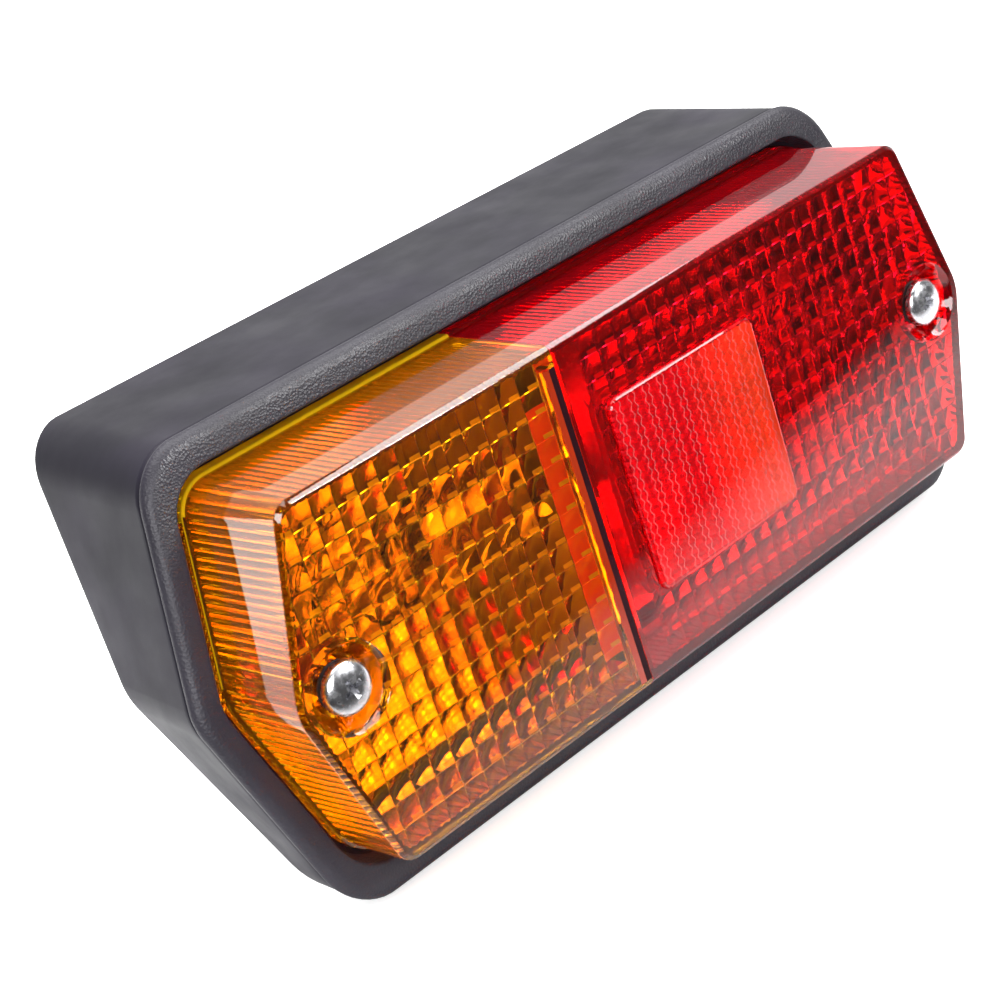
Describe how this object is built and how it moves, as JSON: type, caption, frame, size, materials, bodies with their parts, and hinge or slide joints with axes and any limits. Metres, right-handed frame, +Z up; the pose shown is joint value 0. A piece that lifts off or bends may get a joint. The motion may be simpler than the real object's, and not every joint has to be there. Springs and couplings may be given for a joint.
{
  "type": "trailer tail light",
  "caption": "Wedge-shaped trailer tail light: six-sided amber and red lens with a square reflex reflector, screwed to a black housing over two bayonet bulbs.",
  "frame": {"origin": "centre of the housing's flat sloping back face, where it lies on the vehicle", "axes": "+X along the lamp from the amber end to the red end, -Y out of the flat lens front, +Z up"},
  "size_m": [0.2156, 0.0773, 0.0984],
  "materials": {
    "housing_plastic": "smooth moulded side walls, leather-grained rim",
    "rubber": "matt black",
    "amber_lens": "clear tinted, gloss, prisms inside",
    "red_lens": "clear tinted, gloss, prisms inside",
    "reflex_plastic": "clear tinted over fine cube-corner cells",
    "zinc_steel": "bright zinc plate",
    "bright_plate": "bright pressed reflector",
    "brass": "turned or pressed",
    "bakelite": "dark moulded insulator",
    "clear_glass": "clear",
    "filament_wire": "drawn wire"
  },
  "bodies": {
    "housing": {"housing": "housing_plastic", "chamber_divider": "housing_plastic", "lens_gasket": "rubber", "cable_grommet": "rubber", "left_mounting_bolt": "zinc_steel", "right_mounting_bolt": "zinc_steel", "left_nut": "zinc_steel", "right_nut": "zinc_steel", "left_flat_washer": "zinc_steel", "right_flat_washer": "zinc_steel", "left_spring_washer": "zinc_steel", "right_spring_washer": "zinc_steel", "turn_bracket": "zinc_steel", "stop_bracket": "zinc_steel", "turn_holder_shell": "zinc_steel", "stop_holder_shell": "zinc_steel", "turn_rivet_1": "zinc_steel", "turn_rivet_2": "zinc_steel", "stop_rivet_1": "zinc_steel", "stop_rivet_2": "zinc_steel", "turn_contact_spring": "zinc_steel", "stop_contact_spring": "zinc_steel", "tail_contact_spring": "zinc_steel", "socket_plate": "bright_plate", "left_screw_post": "brass", "right_screw_post": "brass", "earth_terminal": "brass", "turn_holder_insulator": "bakelite", "stop_holder_insulator": "bakelite"},
    "lens": {"amber_lens": "amber_lens", "red_lens": "red_lens", "reflex_reflector": "reflex_plastic", "left_screw_washer": "rubber", "right_screw_washer": "rubber"},
    "left_screw": {"left_lens_screw": "zinc_steel"},
    "right_screw": {"right_lens_screw": "zinc_steel"},
    "turn_contact": {"turn_contact_pin": "brass"},
    "turn_bulb": {"turn_bulb_cap": "brass", "turn_bulb_glass": "clear_glass", "turn_bulb_insulator": "bakelite", "turn_bulb_contact": "brass", "turn_bulb_filament": "filament_wire"},
    "stop_contacts": {"stop_contact_pin": "brass", "tail_contact_pin": "brass"},
    "stop_bulb": {"stop_bulb_cap": "brass", "stop_bulb_glass": "clear_glass", "stop_bulb_insulator": "bakelite", "stop_bulb_contact": "brass", "tail_bulb_contact": "brass", "stop_bulb_filament": "filament_wire", "tail_bulb_filament": "filament_wire"}
  },
  "joints": [
    {"name": "lens_lift", "type": "slide", "parent": "housing", "child": "lens", "axis": [0, -1, 0], "range_m": [0, 0.06]},
    {"name": "left_screw_turn", "type": "hinge", "parent": "lens", "child": "left_screw", "pos_m": [-0.088, -0.045, 0], "axis": [0, -1, 0], "continuous": true},
    {"name": "right_screw_turn", "type": "hinge", "parent": "lens", "child": "right_screw", "pos_m": [0.088, -0.045, 0], "axis": [0, -1, 0], "continuous": true},
    {"name": "turn_contact_push", "type": "slide", "parent": "housing", "child": "turn_contact", "axis": [1, 0, 0], "range_m": [0, 0.0022], "stiffness_N_per_m": 1500, "springref_m": -0.002, "deforming": ["turn_contact_spring"]},
    {"name": "turn_bulb_twist", "type": "hinge", "parent": "turn_contact", "child": "turn_bulb", "pos_m": [-0.032, -0.03, 0.008], "axis": [-1, 0, 0], "range_deg": [0, 22]},
    {"name": "stop_contact_push", "type": "slide", "parent": "housing", "child": "stop_contacts", "axis": [-1, 0, 0], "range_m": [0, 0.0022], "stiffness_N_per_m": 1500, "springref_m": -0.002, "deforming": ["stop_contact_spring", "tail_contact_spring"]},
    {"name": "stop_bulb_twist", "type": "hinge", "parent": "stop_contacts", "child": "stop_bulb", "pos_m": [0.026, -0.03, 0.008], "axis": [1, 0, 0], "range_deg": [0, 22]}
  ]
}
